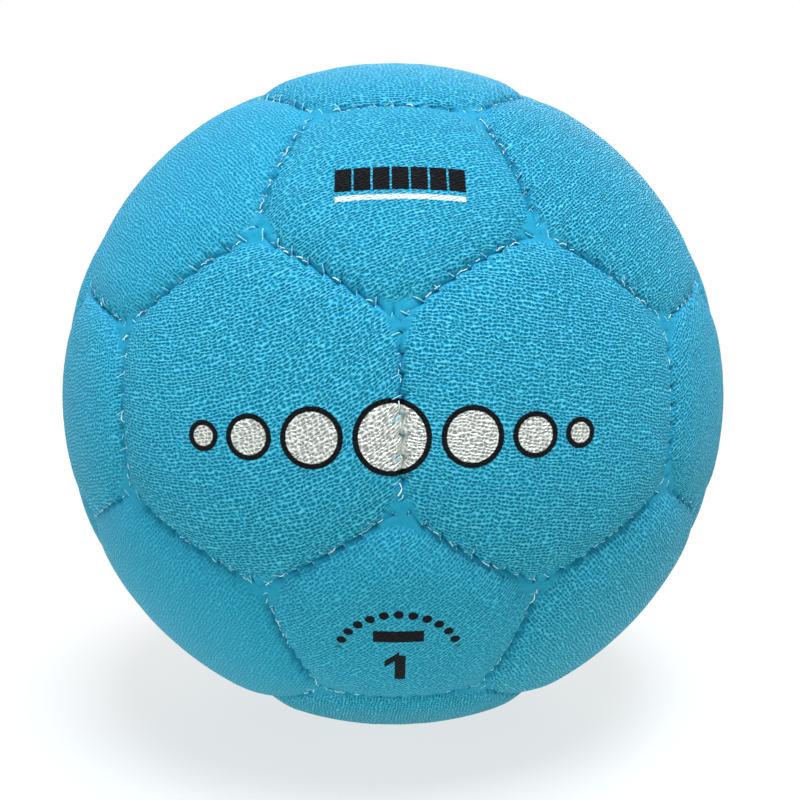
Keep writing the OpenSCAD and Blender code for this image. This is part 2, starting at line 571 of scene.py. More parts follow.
@dataclass(frozen=True)
class PebbledLeather:
    """Blue synthetic leather with rows of shallow pits that fade beside the seams.

    Attributes:
        top: Colour of the ridges: the leather's own tone, paler and whiter with painted sheen.
        side: Colour of the pits' slopes: the leather's own tone with some painted shade.
        pit: Colour of the pits' bottoms: the leather's own tone, darkened with painted shade.
        shaded_fold: Painted shade of the folds beside the strands.
        seam: Colour of the smooth leather beside the seams.
        silver: Silver ink.
        silver_pit: Silver ink in the pits' bottoms.
        ink: Dark ink.
        white: Pale ink.
        stitch_mm: Length that one stitch takes.
        crease_off_mm: How far the fold lies beside the strand.
        crease_mm: Half the fold's width.
        depth_mm: Real depth of the grain.
        fade: Scale and reach of the noise that frays the grain's border.
        fine: Scale of the faint pores.
        rough: Roughness of the ridges, and what the pits and the pores add.
        crease_share: How much of the fold's painted shade and of its depth shows.
        pore_share: How deep the pores are, as a share of the grain.
        shine: The shader's constant specular level.
        metal: How metallic the silver ink is.
        ragged: Scale and reach in millimetres of the inks' uneven borders.
    """

    # The grain's own tone, with painted sheen on the ridges and painted shade in the pits.
    top: Colour = (0.112, 0.555, 0.785)
    side: Colour = (0.030, 0.385, 0.600)
    pit: Colour = (0.000, 0.180, 0.335)
    # Painted shade of the fold that each stitch pulls in beside its strand.
    shaded_fold: Colour = (0.000, 0.105, 0.190)
    seam: Colour = (0.018, 0.280, 0.460)
    silver: Colour = (0.74, 0.73, 0.71)
    silver_pit: Colour = (0.17, 0.17, 0.165)
    ink: Colour = (0.006, 0.006, 0.008)
    white: Colour = (0.80, 0.84, 0.85)
    stitch_mm: float = 3.7
    crease_off_mm: float = 0.2
    crease_mm: float = 0.2
    depth_mm: float = 0.42
    fade: Pair = (0.5, 0.5)
    fine: float = 4.5
    rough: Triple = (0.46, 0.14, 0.12)
    crease_share: Pair = (0.24, 0.2)
    pore_share: float = 0.06
    shine: float = 0.05
    metal: float = 0.45
    ragged: Pair = (2.2, 0.16)
    grain: Grain = field(default_factory=Grain)

    def make(self, name: str, printed: Print = Print.NONE) -> bpy.types.Material:
        """Builds the material.

        Args:
            name: The material's name.
            printed: What is printed on it.

        Returns:
            The material.
        """
        material, tree, shader = surface(name)
        plane = tree.node("ShaderNodeUVMap", {"uv_map": "panel"})
        ridges, height = self.grain.waves(tree, plane)
        frayed = tree.attribute("grain") + (tree.noise(plane, self.fade[0], 2.0) - 0.5) * self.fade[1]
        shown = frayed.beyond(0.02, 0.7) * tree.attribute("crisp")
        pores = tree.noise(plane, self.fine, 3.0)
        # Mask of the fold beside each strand: painted shade in the colour, and a dip in the bump.
        shaded_fold = self._shaded_fold_mask(tree)
        # Grain colour from pit to ridge: partly its own tone, partly painted shade in the pits and painted sheen on
        # the ridges.
        colour = tree.mix(ridges.beyond(0.0, 0.6), shaded(self.pit, 1), shaded(self.side, 1))
        colour = tree.mix(ridges.beyond(0.4, 1.0), colour, shaded(self.top, 1))
        colour = tree.mix(shown, shaded(self.seam, 1), colour)
        # Painted shade of the fold beside each strand.
        colour = tree.mix(shaded_fold * self.crease_share[0], colour, shaded(self.shaded_fold, 1))
        pits = 1 - ridges
        rough = self.rough[0] + pits * shown * self.rough[1] + (pores - 0.5) * self.rough[2]
        metal: Any = 0.0
        if printed is not Print.NONE:
            colour, metal, rough = self._inked(tree, printed, colour, rough, pits, shown)
        relief = height * shown + pores * self.pore_share - shaded_fold * self.crease_share[1]
        fit(
            tree, shader, Base_Color=colour, Roughness=rough, Metallic=metal, Specular_IOR_Level=self.shine,
            Normal=bump(tree, relief, self.depth_mm),
        )
        return material

    def _shaded_fold_mask(self, tree: Tree) -> Wire:
        """Builds the mask of the narrow fold that each stitch pulls into the leather beside its strand; it darkens
        the colour with painted shade and lowers the bump.

        Args:
            tree: The material's tree.

        Returns:
            The fold's mask.
        """
        off = (tree.attribute("stitch").fraction() - 0.5) * self.stitch_mm - self.crease_off_mm
        off = off / self.crease_mm
        return (-(off * off)).exp() * tree.attribute("flank")

    def _inked(self, tree: Tree, printed: Print, colour: Wire, rough: Wire, pits: Wire, shown: Wire) -> tuple:
        """Lays a print's inks over the leather.

        Args:
            tree: The material's tree.
            printed: What is printed.
            colour: The leather's colour.
            rough: The leather's roughness.
            pits: Mask of the pits' bottoms.
            shown: Mask of the grain.

        Returns:
            The colour, how metallic it is, and its roughness.
        """
        place = tree.place()
        ragged = (tree.noise(place, self.ragged[0], 1.0) - 0.5) * self.ragged[1]
        if printed is Print.DISCS:
            fill, line = DiscRow().masks(tree, place, ragged)
            over = tree.mix(pits.beyond(0.4, 1.0) * shown * 0.8, shaded(self.silver, 1), shaded(self.silver_pit, 1))
            colour = tree.mix(line, colour, shaded(self.ink, 1))
            return tree.mix(fill, colour, over), fill * self.metal, rough * (1 - fill * 0.2)
        marks = BlockRow() if printed is Print.BLOCKS else SizeMark()
        dark, pale = marks.masks(tree, place, ragged)
        colour = tree.mix(dark, colour, shaded(self.ink, 1))
        return tree.mix(pale, colour, shaded(self.white, 1)), 0.0, rough


@dataclass(frozen=True)
class DiscRow:
    """Row of graded silver discs with dark rims across the two front hexagons.

    Attributes:
        middle_mm: The middle disc's place, across and up.
        radii_mm: The discs' radii, from the middle outwards.
        gap_mm: Gap between two discs.
        rim_mm: Width of the dark rim.
        edge_mm: Width of an ink's soft border.
    """

    middle_mm: Pair = (-1.6, -3.6)
    radii_mm: tuple[float, ...] = (6.6, 5.3, 4.0, 2.7)
    gap_mm: float = 1.7
    rim_mm: float = 0.8
    edge_mm: float = 0.16

    def masks(self, tree: Tree, place: Wire, ragged: Wire) -> tuple[Wire, Wire]:
        """Builds the masks.

        Args:
            tree: The material's tree.
            place: The place on the ball in millimetres.
            ragged: How far the inks' borders stray, in millimetres.

        Returns:
            The masks of the silver and of the dark rims.
        """
        x, _, z = tree.parts(place)
        x = (x - self.middle_mm[0]).size()
        z = z - self.middle_mm[1]
        nearest: Wire | None = None
        centre = 0.0
        for k, radius in enumerate(self.radii_mm):
            centre += 0.0 if k == 0 else self.radii_mm[k - 1] + radius + self.gap_mm
            far = ((x - centre) * (x - centre) + z * z).root() - radius
            nearest = far if nearest is None else nearest.low(far)
        nearest = nearest + ragged
        return nearest.beyond(-self.rim_mm, -self.rim_mm - self.edge_mm), nearest.beyond(self.edge_mm, 0.0)


@dataclass(frozen=True)
class BlockRow:
    """Row of dark squares over a thin pale line, on the pentagon above the middle.

    Attributes:
        lift: Angle of the pentagon's middle above the level.
        middle_mm: The row's place, across and up from the pentagon's middle.
        block_mm: Width of a block.
        tall_mm: Height of a block.
        drop_mm: How far below the row's middle the line lies.
        line_mm: Half the line's height.
        line_share: The line's length as a share of the row's.
        pitch_mm: Distance from block to block.
        count: How many blocks there are.
        edge_mm: Width of an ink's soft border.
    """

    lift: float = math.atan2(PHI, 1.0)
    middle_mm: Pair = (0.4, -1.0)
    block_mm: float = 2.9
    tall_mm: float = 5.2
    drop_mm: float = 4.2
    line_mm: float = 0.5
    line_share: float = 0.97
    pitch_mm: float = 3.4
    count: int = 7
    edge_mm: float = 0.14

    def masks(self, tree: Tree, place: Wire, ragged: Wire) -> tuple[Wire, Wire]:
        """Builds the masks.

        Args:
            tree: The material's tree.
            place: The place on the ball in millimetres.
            ragged: How far the inks' borders stray, in millimetres.

        Returns:
            The masks of the dark squares and of the pale line.
        """
        x, y, z = tree.parts(place)
        up = y * math.cos(self.lift) + z * math.sin(self.lift)
        x = x - self.middle_mm[0]
        up = up - self.middle_mm[1]
        half = self.count * self.pitch_mm / 2
        across = ((x / self.pitch_mm + self.count / 2).fraction() - 0.5).size() * self.pitch_mm
        inside = (across - self.block_mm / 2).high(x.size() - half).high(up.size() - self.tall_mm / 2)
        line = ((up + self.drop_mm).size() - self.line_mm).high(x.size() - half * self.line_share)
        return (inside + ragged).beyond(self.edge_mm, 0.0), (line + ragged * 0.5).beyond(self.edge_mm, 0.0)


@dataclass(frozen=True)
class SizeMark:
    """Arc of dark dots over a short bar and the plain numeral 1, on the pentagon below the middle.

    Attributes:
        lift: Angle of the pentagon's middle below the level.
        shift_mm: How far the mark lies to the left.
        arc_mm: Radius of the arc.
        arc_drop_mm: How far below the pentagon's middle the arc's centre lies.
        dot_step: Angle from dot to dot.
        dot_mm: Radius of a dot.
        dot_reach: How many steps the arc goes to either side.
        bar_mm: The bar's height over the pentagon's middle, and half its width and height.
        stem_mm: Place of the numeral's stem across and up, and half its width and height.
        flag_mm: Where the numeral's flag starts, half its thickness, and its middle and half its width across.
        edge_mm: Width of the ink's soft border.
    """

    lift: float = math.atan2(PHI, 1.0)
    shift_mm: float = 0.6
    arc_mm: float = 11.3
    arc_drop_mm: float = 4.0
    dot_step: float = math.radians(13.5)
    dot_mm: float = 0.85
    dot_reach: float = 5.5
    bar_mm: Triple = (1.8, 4.6, 1.4)
    stem_mm: Quad = (0.35, -7.5, 0.95, 3.9)
    flag_mm: Quad = (3.6, 0.95, -1.2, 1.3)
    edge_mm: float = 0.14

    def masks(self, tree: Tree, place: Wire, ragged: Wire) -> tuple[Wire, Any]:
        """Builds the masks.

        Args:
            tree: The material's tree.
            place: The place on the ball in millimetres.
            ragged: How far the inks' borders stray, in millimetres.

        Returns:
            The mask of the dark marks, and none of a pale one.
        """
        x, y, z = tree.parts(place)
        up = z * math.sin(self.lift) - y * math.cos(self.lift)
        x = x + self.shift_mm
        arc_up = up + self.arc_drop_mm
        turn = x.math("ARCTAN2", arc_up)
        beat = ((turn / self.dot_step + 0.5).fraction() - 0.5) * self.dot_step * self.arc_mm
        rise = (x * x + arc_up * arc_up).root() - self.arc_mm
        dots = ((beat * beat + rise * rise).root() - self.dot_mm).high(turn.size() - self.dot_step * self.dot_reach)
        bar_up, bar_wide, bar_tall = self.bar_mm
        bar = (x.size() - bar_wide).high((up - bar_up).size() - bar_tall)
        stem_x, stem_up, stem_wide, stem_tall = self.stem_mm
        stem = ((x - stem_x).size() - stem_wide).high((up - stem_up).size() - stem_tall)
        flag_off, flag_thick, flag_x, flag_wide = self.flag_mm
        flag = ((x - up - flag_off).size() - flag_thick).high((x - flag_x).size() - flag_wide)
        return (dots.low(bar).low(stem).low(flag) + ragged).beyond(self.edge_mm, 0.0), 0.0


@dataclass(frozen=True)
class WaxedThread:
    """Pale waxed sewing thread.

    Attributes:
        waxed: Colour where the wax is whole.
        worn: Colour where it is rubbed off.
        bare: Colour of the frayed ends.
        fine: Scale of the twisted fibres.
        sheen: The shader's constant sheen.
    """

    waxed: Colour = (0.10, 0.50, 0.75)
    worn: Colour = (0.30, 0.76, 0.93)
    bare: Colour = (0.88, 0.98, 1.0)
    fine: float = 9.0
    sheen: float = 0.25

    def make(self) -> bpy.types.Material:
        """Builds the material.

        Returns:
            The material.
        """
        material, tree, shader = surface("waxed_thread")
        place = tree.place()
        rubbed = tree.noise(place, 1.6, 2.0)
        fibres = tree.noise(tree.vmath("MULTIPLY", place, (self.fine,) * 3), 1.0, 1.0)
        colour = tree.mix(rubbed.beyond(0.35, 0.7), shaded(self.worn, 1), shaded(self.waxed, 1))
        colour = tree.mix(tree.attribute("bare"), colour, shaded(self.bare, 1))
        fit(
            tree, shader, Base_Color=colour, Roughness=0.38 + fibres * 0.2, Sheen_Weight=self.sheen,
            Normal=bump(tree, fibres, 0.05),
        )
        return material


@dataclass(frozen=True)
class MouldedRubber:
    """Satin rubber with a faint moulded texture.

    Attributes:
        name: The material's name.
        colour: The rubber's colour.
    """

    name: str
    colour: Colour

    def make(self) -> bpy.types.Material:
        """Builds the material.

        Returns:
            The material.
        """
        material, tree, shader = surface(self.name)
        place = tree.place()
        cloudy = tree.noise(place, 0.35, 3.0)
        fine = tree.noise(place, 5.0, 2.0)
        colour = tree.mix(cloudy.beyond(0.3, 0.8) * 0.35, shaded(self.colour, 1), shaded(self.colour, 0.6))
        fit(tree, shader, Base_Color=colour, Roughness=0.42 + fine * 0.2, Normal=bump(tree, fine, 0.05))
        return material


@dataclass(frozen=True)
class WovenCloth:
    """Plain woven cloth.

    Attributes:
        name: The material's name.
        colour: The yarn's colour.
        pitch_mm: Distance from yarn to yarn.
    """

    name: str
    colour: Colour
    pitch_mm: float = 0.7

    def make(self) -> bpy.types.Material:
        """Builds the material.

        Returns:
            The material.
        """
        material, tree, shader = surface(self.name)
        place = tree.place()
        x, y, z = tree.parts(place)
        turn = math.pi / self.pitch_mm
        weave = ((x + y) * turn).sine() * ((z + x - y) * turn).sine() * 0.5 + 0.5
        cloudy = tree.noise(place, 0.2, 2.0)
        colour = tree.mix(weave * 0.4 + cloudy * 0.3, shaded(self.colour, 0.6), shaded(self.colour, 1))
        fit(tree, shader, Base_Color=colour, Roughness=0.85 - weave * 0.1, Normal=bump(tree, weave, 0.12))
        return material


# ---------------------------------------------------------------- the net of panels


@dataclass
class Panel:
    """Place and outline of one panel of the ball.

    Attributes:
        node: Name of the CAD node that it stands for.
        sides: 5 or 6.
        middle: Unit direction of its middle.
        side: Direction towards the middle of its first side.
    """

    node: str
    sides: int
    middle: Vector
    side: Vector

    def axes(self) -> Matrix:
        """Works out the panel's own directions.

        Returns:
            A matrix whose columns are its x (to its first side), y and z (outwards).
        """
        z = self.middle
        x = (self.side - self.side.dot(z) * z).normalized()
        return Matrix((x, z.cross(x), z)).transposed()


def panel_net() -> list[Panel]:
    """Places the 32 panels of a truncated icosahedron.

    Returns:
        The panels with their CAD nodes' names.
    """
    made = []
    for a, b in product((-1, 1), repeat=2):
        front, low = ("front", "back")[a > 0], ("bottom", "top")[b > 0]
        left, near = ("left", "right")[a > 0], ("front", "back")[b > 0]
        under, beside = ("bottom", "top")[a > 0], ("left", "right")[b > 0]
        made += [
            (f"pentagon_{front}_{low}", 5, (0, a * PHI, b), (0, -a * PHI, b)),
            (f"pentagon_{left}_{near}", 5, (a * PHI, b, 0), (-a * PHI, b, 0)),
            (f"pentagon_{under}_{beside}", 5, (b, 0, a * PHI), (b, 0, -a * PHI)),
            ("valve_panel" if a > 0 and b > 0 else f"hexagon_{front}_{beside}", 6,
             (b / PHI, a * PHI, 0), (0, a * PHI, 1)),
            (f"hexagon_{left}_{('lower', 'upper')[b > 0]}", 6, (a * PHI, 0, b / PHI), (a * PHI, 1, 0)),
            (f"hexagon_{under}_{near}", 6, (0, b / PHI, a * PHI), (1, 0, a * PHI)),
            (f"hexagon_left_{front}_{low}", 6, (-1, a, b), (0, a * PHI, b)),
            (f"hexagon_right_{front}_{low}", 6, (1, a, b), (0, a * PHI, b)),
        ]
    return [Panel(name, sides, Vector(middle).normalized(), Vector(side)) for name, sides, middle, side in made]


@dataclass(frozen=True)
class BallSizes:
    """Sizes of the cover in millimetres, as in the CAD part.

    Attributes:
        radius: The ball's radius.
        cover: Thickness of a panel.
        edge: Thickness of its turned-in edge.
        edge_depth: How far that edge stands inwards from the panel.
        half_gap: Half the gap of a sewn seam.
        stem_hole: Radius of the hole for the valve's stem.
    """

    radius: float = 81.0
    cover: float = 2.0
    edge: float = 1.2
    edge_depth: float = 3.2
    half_gap: float = 0.1
    stem_hole: float = 4.5

    def seam_share(self) -> float:
        """Length of a seam as a share of the radius."""
        return 4 / math.sqrt(58 + 18 * math.sqrt(5))

    def seam_angle(self) -> float:
        """Half the angle that a seam spans at the ball's centre."""
        return math.asin(self.seam_share() / 2)

    def half_seam(self) -> float:
        """Half the length of a seam along the ball, in millimetres."""
        return self.seam_angle() * self.radius

    def side_angle(self, sides: int) -> float:
        """Angle from a panel's middle to the middle of a side."""
        corner = math.asin(self.seam_share() / (2 * math.sin(math.pi / sides)))
        return math.atan(math.tan(corner) * math.cos(math.pi / sides))


SEAM_BOWS = {
    frozenset(("hexagon_front_right", "pentagon_front_top")): -1.3,
    frozenset(("hexagon_front_right", "pentagon_front_bottom")): 1.4,
    frozenset(("hexagon_front_left", "pentagon_front_bottom")): 0.35,
    frozenset(("hexagon_left_front_top", "pentagon_front_top")): -0.8,
}


@dataclass
class Seam:
    """A seam seen from one of its panels.

    Attributes:
        run: Unit vector along the seam, on the whole downwards.
        hand: 1 where the panel's outline runs round it along the seam's run, else -1.
        number: Same for both panels.
        share: How deep this panel's edge is pinched.
        bow: How far the seam's middle is moved, in millimetres.
    """

    run: Vector
    hand: float
    number: float
    share: float
    bow: float

    DOWN = Vector((-0.3, 0.0, 1.0))
    LEVEL_SHARE = 0.62
    HEIGHT_SHARE = 0.75
    LEAST_SHARE = 0.25
    NUMBERS = 37.0

    @classmethod
    def between(cls, net: list[Panel], me: int, near: int) -> "Seam":
        """Describes the seam between two panels.

        Args:
            net: All the panels.
            me: The number of the panel that it is seen from.
            near: The number of the panel across it.

        Returns:
            The seam. The upper panel's edge is pinched deeper than the lower one's.
        """
        mine, other = net[me].middle, net[near].middle
        run = mine.cross(other).normalized()
        hand = 1.0 if run.dot(cls.DOWN) < 0 else -1.0
        one, two = sorted((me, near))
        share = cls.LEVEL_SHARE + cls.HEIGHT_SHARE * (mine.z - other.z)
        bow = SEAM_BOWS.get(frozenset((net[me].node, net[near].node)), 0.0)
        return cls(
            run * hand, hand, one * cls.NUMBERS + two, min(1.0, max(cls.LEAST_SHARE, share)),
            bow * (1.0 if mine.z < other.z else -1.0) * hand,
        )


@dataclass(frozen=True)
class GrainLay:
    """How the grain lies on a panel.

    Attributes:
        tilt: The rows' tilt in degrees.
        stretch: How much longer than wide the pits are.
        fineness: How much finer than usual they are.
        crispness: How deep they are, from 0 to 1.
        bend: How much the rows bend, per millimetre.
    """

    tilt: float
    stretch: float
    fineness: float = 1.0
    crispness: float = 1.0
    bend: float = 0.0


GRAIN_LAY = {
    "hexagon_front_left": GrainLay(14.0, 1.45, 1.0, 0.92, 0.008),
    "hexagon_front_right": GrainLay(-7.0, 1.2, 1.0, 0.95),
    "pentagon_front_top": GrainLay(23.0, 1.5, 1.05, 0.85),
    "pentagon_front_bottom": GrainLay(42.0, 1.35, 1.0, 0.6),
    "hexagon_left_front_top": GrainLay(-28.0, 1.2, 0.92, 0.58),
    "hexagon_right_front_top": GrainLay(25.0, 1.4, 1.1, 1.0),
    "pentagon_left_front": GrainLay(8.0, 1.1, 0.85, 0.7),
    "pentagon_right_front": GrainLay(41.0, 1.3, 1.05, 0.9),
    "hexagon_left_front_bottom": GrainLay(38.0, 1.15, 0.9, 0.36),
    "hexagon_right_front_bottom": GrainLay(-35.0, 1.3, 0.88, 0.75),
    "hexagon_top_front": GrainLay(1.0, 1.4, 1.0, 0.9),
}


def lay_of(node: str, number: int) -> GrainLay:
    """Gives the lay of a panel's grain, worked out from the panel's number where none is named.

    Args:
        node: The panel's name.
        number: The panel's place in the net.

    Returns:
        The lay.
    """
    return GRAIN_LAY.get(node, GrainLay(17.0 * number % 180.0, 1.0 + 0.45 * (number * 7 % 10) / 10, 1.0, 0.7))


# ---------------------------------------------------------------- the cover


@dataclass(frozen=True)
class Loop:
    """One loop of points round a panel's middle.

    Attributes:
        inset: Its distance from the seams, in millimetres.
        radius: Its distance from the ball's centre, in millimetres.
        share: How many points it has, as a multiple of the coarsest loop's.
        top: 1 on the outer face, else 0.
        follow: 1 where it moves with the stitches, else 0.
    """

    inset: float
    radius: float
    share: int
    top: float = 0.0
    follow: float = 0.0


@dataclass
class PanelMesh:
    """Base mesh of one panel: its outer face, turned-in edge and inner face, as loops round its middle.

    Attributes:
        panel: The panel.
        net: All the panels, which say who lies across each side.
        sizes: The cover's sizes.
        columns: How many points the finest loops have along a side.
        corner_radius: Radius that the roll keeps round the corners.
        arch_reach: How far into the panel a seam's bow is felt.
        window_width: Distance over which two sides' stitches fade into each other.
    """

    panel: Panel
    net: list[Panel]
    sizes: BallSizes = field(default_factory=BallSizes)
    columns: int = 144
    corner_radius: float = 17.0
    arch_reach: float = 9.0
    window_width: float = 1.6

    FINEST = 8
    INNER = ((22.0, 1), (15.0, 1), (9.0, 2), (4.0, 4))
    OUTER = {
        8: (0.1, 0.2, 0.32, 0.46, 0.62, 0.8, 1.0, 1.22, 1.46, 1.72, 2.0, 2.3, 2.62, 2.96, 3.32, 3.7, 4.1, 4.55),
        4: (5.1, 5.7, 6.4, 7.2, 8.1),
        2: (9.1, 10.3, 11.7, 13.3),
        1: (15.1, 17.2, 19.6, 22.0),
    }
    WALL_TOP = 3.6
    HOLE_REACH = 2.3
    GRAIN_START = (0.45, 1.5)
    CORNER_START = (0.9, 2.6)
    MAP_STEP = (61.0, 47.0)

    def build(self) -> bpy.types.Mesh:
        """Makes the mesh.

        Returns:
            The mesh with its map and the attributes that the relief and the leather read.
        """
        s = self.sizes
        loops = self._loops()
        unit, starts = self._points(loops)
        marks = np.array([(loop.radius, loop.top, loop.follow) for loop, (_, count) in zip(loops, starts)
                          for _ in range(count)])
        faces = [face for low, high in zip(starts, starts[1:]) for face in self._band(*low, *high)]
        first, last = starts[0], starts[-1]
        if self._holed():
            faces += self._band(*last, *first)
        else:
            unit = np.vstack([unit, [(0, 0, 1.0), (0, 0, 1.0)]])
            marks = np.vstack([marks, [(s.radius - s.cover, 0.0, 0.0), (s.radius, 1.0, 1.0)]])
            low, high = len(unit) - 2, len(unit) - 1
            faces += [(first[0] + (j + 1) % first[1], first[0] + j, low) for j in range(first[1])]
            faces += [(last[0] + j, last[0] + (j + 1) % last[1], high) for j in range(last[1])]
        world = unit @ np.array(self.panel.axes()).T
        mesh = new_mesh(self.panel.node, world * marks[:, :1] * MM, faces)
        number = next(i for i, p in enumerate(self.net) if p.node == self.panel.node)
        lay = lay_of(self.panel.node, number)
        self._mark(mesh, unit, world, marks, number)
        store(mesh, crisp=np.full(len(unit), lay.crispness))
        self._unroll(mesh, unit, lay, number)
        return mesh

    def _holed(self) -> bool:
        """Whether the panel has the hole for the valve."""
        return self.panel.node == "valve_panel"

    def _loops(self) -> list[Loop]:
        """Lists the loops: the inner face from its middle outwards, the edge, and the outer face back to the middle.

        Returns:
            The loops in the order in which the faces join them.
        """
        s = self.sizes
        inside = s.radius - s.cover
        tip = inside - s.edge_depth
        wall = s.half_gap + s.edge
        loops = [Loop(inset, inside, share) for inset, share in (*self.INNER, (wall, self.FINEST))]
        loops += [Loop(wall, tip, self.FINEST), Loop(s.half_gap, tip, self.FINEST)]
        loops.append(Loop(s.half_gap, s.radius - self.WALL_TOP, self.FINEST, 0.0, 1.0))
        loops += [Loop(inset, s.radius, share, 1.0, 1.0) for share, insets in self.OUTER.items() for inset in insets]
        return loops

    def _points(self, loops: list[Loop]) -> tuple[np.ndarray, list[tuple[int, int]]]:
        """Places the points of the loops.

        Args:
            loops: The loops.

        Returns:
            The points' directions in the panel's axes, and each loop's first point and number of points.
        """
        sides = self.panel.sides
        sigma, alpha = self.sizes.side_angle(sides), self.sizes.seam_angle()
        points, levels, starts = [], [], []
        for loop in loops:
            columns = self.columns // self.FINEST * loop.share
            starts.append((len(points), columns * sides))
            flat = math.tan(sigma - loop.inset / self.sizes.radius) / math.tan(sigma)
            out = flat * math.tan(sigma)
            for k in range(sides):
                c, s = math.cos(math.tau * k / sides), math.sin(math.tau * k / sides)
                for j in range(columns):
                    u = math.tan(alpha * (2 * j / columns - 1)) / math.cos(sigma)
                    points.append((out * c - flat * u * s, out * s + flat * u * c, 1.0))
                    levels.append(out)
        unit = np.array(points)
        if self._holed():
            self._round_the_middle(unit, np.array(levels))
        return unit / np.linalg.norm(unit, axis=1)[:, None], starts

    def _round_the_middle(self, flat: np.ndarray, levels: np.ndarray) -> None:
        """Draws the loops near the middle into circles round the valve's hole.

        Args:
            flat: The points, on the plane that touches the ball at the panel's middle.
            levels: How far from the middle each point's loop lies, on that plane.
        """
        far = np.hypot(flat[:, 0], flat[:, 1])
        edge = math.tan(self.sizes.stem_hole / self.sizes.radius)
        least, most = levels.min(), self.HOLE_REACH * levels.min()
        share = np.clip((levels - least) / (most - least), 0, 1)
        circle = edge + (most - edge) * share
        scale = 1 + (circle / far - 1) * (1 - share * share * (3 - 2 * share))
        flat[:, :2] *= scale[:, None]

    @staticmethod
    def _band(a: int, na: int, b: int, nb: int) -> list[tuple[int, ...]]:
        """Joins two loops, where one may have twice as many points as the other.

        Args:
            a: The first loop's first point.
            na: The first loop's number of points.
            b: The second loop's first point.
            nb: The second loop's number of points.

        Returns:
            The faces between them.
        """
        if na == nb:
            return [(a + j, a + (j + 1) % na, b + (j + 1) % nb, b + j) for j in range(na)]
        faces = []
        if na == 2 * nb:
            for j in range(nb):
                p, q, t = a + 2 * j, a + 2 * j + 1, a + (2 * j + 2) % na
                u, v = b + j, b + (j + 1) % nb
                faces += [(p, q, u), (q, t, v), (q, v, u)]
            return faces
        for j in range(na):
            p, q, t = b + 2 * j, b + 2 * j + 1, b + (2 * j + 2) % nb
            u, v = a + j, a + (j + 1) % na
            faces += [(u, q, p), (v, t, q), (u, v, q)]
        return faces

    def _mark(self, mesh: bpy.types.Mesh, unit: np.ndarray, world: np.ndarray, marks: np.ndarray, me: int) -> None:
        """Stores what the relief and the leather read at each point.

        Args:
            mesh: The panel's mesh.
            unit: The points' directions in the panel's axes.
            world: The same in the ball's axes.
            marks: Radius, top and follow of each point.
            me: The panel's number in the net.
        """
        s, n = self.sizes, self.panel.sides
        sigma, alpha = s.side_angle(n), s.seam_angle()
        turns = 2 * math.pi * np.arange(n) / n
        inward = np.stack([-np.cos(turns) * math.cos(sigma), -np.sin(turns) * math.cos(sigma),
                           np.full(n, math.sin(sigma))], 1)
        away = s.radius * np.arcsin(np.clip(unit @ inward.T, -1, 1))
        side = away.argmin(1)
        edge = away[np.arange(len(unit)), side]
        second = np.sort(away, 1)[:, 1]
        axes = np.array(self.panel.axes())
        middles = np.array([p.middle for p in self.net])
        along, hand, seed, share, bow = (np.zeros(len(unit)) for _ in range(5))
        for k, turn in enumerate(turns):
            spot = axes @ np.array([math.sin(sigma) * math.cos(turn), math.sin(sigma) * math.sin(turn),
                                    math.cos(sigma)])
            near = int(next(i for i in np.argsort(-(middles @ spot)) if i != me))
            seam = Seam.between(self.net, me, near)
            here = side == k
            along[here] = s.radius * np.arcsin(np.clip(world[here] @ np.array(seam.run), -1, 1))
            hand[here], seed[here], share[here], bow[here] = seam.hand, seam.number, seam.share, seam.bow
        half = s.half_seam()
        past = np.abs(along) - (half - self.corner_radius * math.sin(alpha) / math.tan(sigma))
        turned = self.corner_radius - np.hypot(np.maximum(past, 0), self.corner_radius - edge)
        rounded = np.where((past > 0) & (edge < self.corner_radius), turned, edge)
        arch = np.clip(1 - (along / half) ** 2, 0, 1) * np.exp(-((edge / self.arch_reach) ** 2))
        window = np.clip((second - edge) / self.window_width, 0, 1)
        grain = np.clip((edge + self.GRAIN_START[0]) / self.GRAIN_START[1], 0, 1)
        grain = grain * np.clip((rounded + self.CORNER_START[0]) / self.CORNER_START[1], 0, 1)
        store(
            mesh, edge=edge, rounded=rounded, along=along, hand=hand, seed=seed, share=share, bow=bow * arch,
            window=window * window * (3 - 2 * window), corner=np.hypot(np.maximum(half - np.abs(along), 0), edge),
            top=marks[:, 1], follow=marks[:, 2], inward=inward[side] @ axes.T, grain=grain * marks[:, 1],
        )

    def _unroll(self, mesh: bpy.types.Mesh, unit: np.ndarray, lay: GrainLay, number: int) -> None:
        """Gives the mesh a map in millimetres of grain, turned and stretched for its panel.

        Args:
            mesh: The panel's mesh.
            unit: The points' directions in the panel's axes.
            lay: How the grain lies.
            number: The panel's number in the net.
        """
        far = np.arccos(np.clip(unit[:, 2], -1, 1))
        flat = unit[:, :2] / np.maximum(np.hypot(unit[:, 0], unit[:, 1]), 1e-9)[:, None]
        flat = flat * (far * self.sizes.radius)[:, None]
        axes = self.panel.axes()
        level = Vector((0, 0, 1)).cross(self.panel.middle)
        level = level.normalized() if level.length > 0.1 else Vector((1, 0, 0))
        turn = -math.atan2(level.dot(axes.col[1]), level.dot(axes.col[0])) - math.radians(lay.tilt)
        c, s = math.cos(turn), math.sin(turn)
        u = c * flat[:, 0] - s * flat[:, 1]
        v = s * flat[:, 0] + c * flat[:, 1] - lay.bend * u * u
        place = (self.MAP_STEP[0] * number, self.MAP_STEP[1] * (number % 5))
        uv = np.stack([u / lay.stretch, v], 1) * lay.fineness + place
        corners = np.zeros(len(mesh.loops), np.int32)
        mesh.loops.foreach_get("vertex_index", corners)
        mesh.uv_layers.new(name="panel").data.foreach_set("uv", uv[corners].astype(np.float32).ravel())


